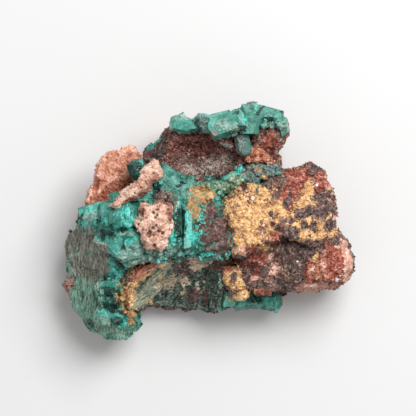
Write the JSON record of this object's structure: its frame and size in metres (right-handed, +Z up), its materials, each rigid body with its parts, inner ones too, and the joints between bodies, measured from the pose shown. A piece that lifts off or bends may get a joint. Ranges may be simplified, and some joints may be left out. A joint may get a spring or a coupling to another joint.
{
  "type": "dioptase mineral specimen on matrix",
  "caption": "Palm-sized lump of iron-stained rock with green dioptase crystals, pale pink calcite and two druse-lined hollows, resting on a flat base.",
  "frame": {"origin": "centre of the bounding box on the flat base the specimen rests on", "axes": "+Z up out of the crystal-covered face, +X along the specimen's length from the crystal lobe to the slab, +Y towards the crest of crystals"},
  "size_m": [0.061, 0.0496, 0.0309],
  "materials": {
    "matrix_rock": "rough, broken, iron-stained",
    "dioptase": "vitreous, part dusty",
    "dusty_dioptase": "vitreous under a pale dusty bloom",
    "pink_calcite": "dull, finely granular",
    "pale_calcite": "dull, porous",
    "red_druse": "sparkling, drusy",
    "green_druse": "sparkling, drusy"
  },
  "bodies": {
    "root": {"matrix": "matrix_rock", "dioptase_mass": "dioptase", "dioptase_crest": "dusty_dioptase", "dioptase_foot": "dioptase", "calcite_plate": "pink_calcite", "calcite_ridge": "pale_calcite", "calcite_patch": "pale_calcite", "hollow_druse": "red_druse", "alcove_druse": "green_druse"}
  },
  "joints": []
}
